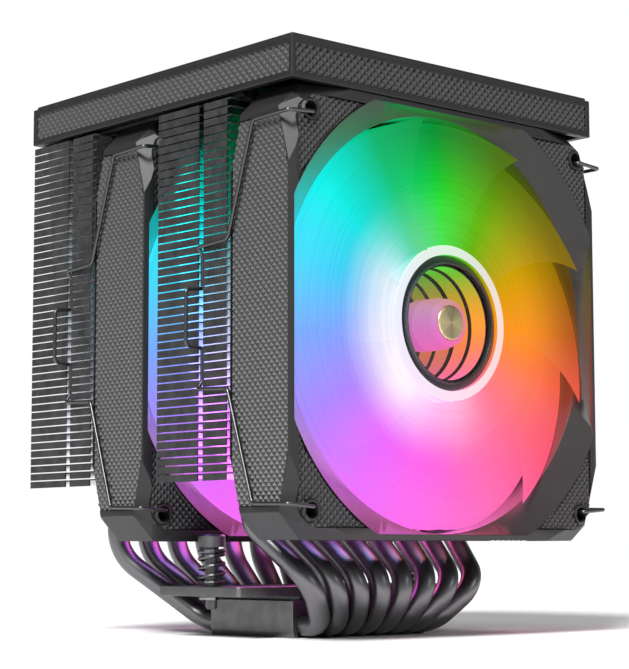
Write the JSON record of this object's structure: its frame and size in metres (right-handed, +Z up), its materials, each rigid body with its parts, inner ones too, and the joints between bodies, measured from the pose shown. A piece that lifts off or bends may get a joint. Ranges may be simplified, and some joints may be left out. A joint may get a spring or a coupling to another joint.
{
  "type": "processor tower cooler",
  "caption": "Twin-tower processor cooler with bent heat pipes, lit fans held by wire clips, a textured top cover and a sprung mounting bar.",
  "frame": {"origin": "centre of the base block's contact face, which rests on the processor", "axes": "+Z up from the processor through the towers, +Y along the air flow from the front fan to the rear tower, +X to the right seen from the front fan"},
  "size_m": [0.1296, 0.1222, 0.1593],
  "materials": {
    "black_pipe": "satin black plating",
    "black_fin": "matt black coating",
    "base_metal": "satin black coating",
    "bar_metal": "satin black coating",
    "plain_steel": "dark zinc plating",
    "spring_steel": "black oxide",
    "cover_plastic": "fine matt",
    "grip_plastic": "pyramid texture, matt",
    "frame_plastic": "fine matt",
    "frosted_plastic": "milky, lit from behind",
    "mirror_cup": "tinted mirror",
    "brass_cap": "spun, brushed",
    "bearing_brass": "plain turned",
    "shaft_steel": "ground",
    "magnet": "bonded ferrite",
    "stator_core": "laminations with copper windings",
    "circuit_board": "solder mask",
    "clip_wire": "black plated spring wire"
  },
  "bodies": {
    "cooler": {"base_block": "base_metal", "mounting_bar": "bar_metal", "bar_screws": "plain_steel", "spring_left": "spring_steel", "spring_right": "spring_steel", "heat_pipe_1": "black_pipe", "heat_pipe_2": "black_pipe", "heat_pipe_3": "black_pipe", "heat_pipe_4": "black_pipe", "heat_pipe_5": "black_pipe", "heat_pipe_6": "black_pipe", "heat_pipe_7": "black_pipe", "heat_pipe_8": "black_pipe", "front_fin_stack": "black_fin", "rear_fin_stack": "black_fin", "cover_bracket": "plain_steel", "cover_screws": "plain_steel", "cover_shell": "cover_plastic", "cover_side_grips": "grip_plastic", "cover_top_plate": "grip_plastic", "front_fan_frame": "frame_plastic", "front_fan_pads": "grip_plastic", "front_fan_grips": "grip_plastic", "front_fan_stator": "stator_core", "front_fan_board": "circuit_board", "front_fan_bearing": "bearing_brass", "rear_fan_frame": "frame_plastic", "rear_fan_pads": "grip_plastic", "rear_fan_grips": "grip_plastic", "rear_fan_stator": "stator_core", "rear_fan_board": "circuit_board", "rear_fan_bearing": "bearing_brass"},
    "front_rotor": {"front_fan_rotor": "frosted_plastic", "front_fan_hub_cup": "mirror_cup", "front_fan_hub_cap": "brass_cap", "front_fan_shaft": "shaft_steel", "front_fan_magnet": "magnet"},
    "rear_rotor": {"rear_fan_rotor": "frosted_plastic", "rear_fan_hub_cup": "mirror_cup", "rear_fan_hub_cap": "brass_cap", "rear_fan_shaft": "shaft_steel", "rear_fan_magnet": "magnet"},
    "front_clip_left": {"front_clip_left": "clip_wire"},
    "front_clip_right": {"front_clip_right": "clip_wire"},
    "rear_clip_left": {"rear_clip_left": "clip_wire"},
    "rear_clip_right": {"rear_clip_right": "clip_wire"},
    "ring_left": {"retaining_ring_left": "plain_steel"},
    "ring_right": {"retaining_ring_right": "plain_steel"},
    "screw_left": {"spring_screw_left": "spring_steel"},
    "screw_right": {"spring_screw_right": "spring_steel"}
  },
  "joints": [
    {"name": "front_rotor_spin", "type": "hinge", "parent": "cooler", "child": "front_rotor", "pos_m": [0, -0.0444, 0.087], "axis": [0, 1, 0], "continuous": true},
    {"name": "front_clip_left_swing", "type": "hinge", "parent": "cooler", "child": "front_clip_left", "pos_m": [-0.0525, -0.0559, 0.087], "axis": [0, 0, 1], "range_deg": [0, 60]},
    {"name": "front_clip_right_swing", "type": "hinge", "parent": "cooler", "child": "front_clip_right", "pos_m": [0.0525, -0.0559, 0.087], "axis": [0, 0, -1], "range_deg": [0, 60]},
    {"name": "rear_rotor_spin", "type": "hinge", "parent": "cooler", "child": "rear_rotor", "pos_m": [0, 0.0179, 0.087], "axis": [0, 1, 0], "continuous": true},
    {"name": "rear_clip_left_swing", "type": "hinge", "parent": "cooler", "child": "rear_clip_left", "pos_m": [-0.0525, 0.0064, 0.087], "axis": [0, 0, 1], "range_deg": [0, 20]},
    {"name": "rear_clip_right_swing", "type": "hinge", "parent": "cooler", "child": "rear_clip_right", "pos_m": [0.0525, 0.0064, 0.087], "axis": [0, 0, -1], "range_deg": [0, 20]},
    {"name": "screw_left_press", "type": "slide", "parent": "cooler", "child": "ring_left", "axis": [0, 0, -1], "range_m": [0, 0.004], "stiffness_N_per_m": 2500, "springref_m": -0.0008, "deforming": ["spring_left"]},
    {"name": "screw_left_turn", "type": "hinge", "parent": "ring_left", "child": "screw_left", "pos_m": [-0.0403, 0, 0.02], "axis": [0, 0, 1], "continuous": true},
    {"name": "screw_right_press", "type": "slide", "parent": "cooler", "child": "ring_right", "axis": [0, 0, -1], "range_m": [0, 0.004], "stiffness_N_per_m": 2500, "springref_m": -0.0008, "deforming": ["spring_right"]},
    {"name": "screw_right_turn", "type": "hinge", "parent": "ring_right", "child": "screw_right", "pos_m": [0.0403, 0, 0.02], "axis": [0, 0, 1], "continuous": true}
  ]
}
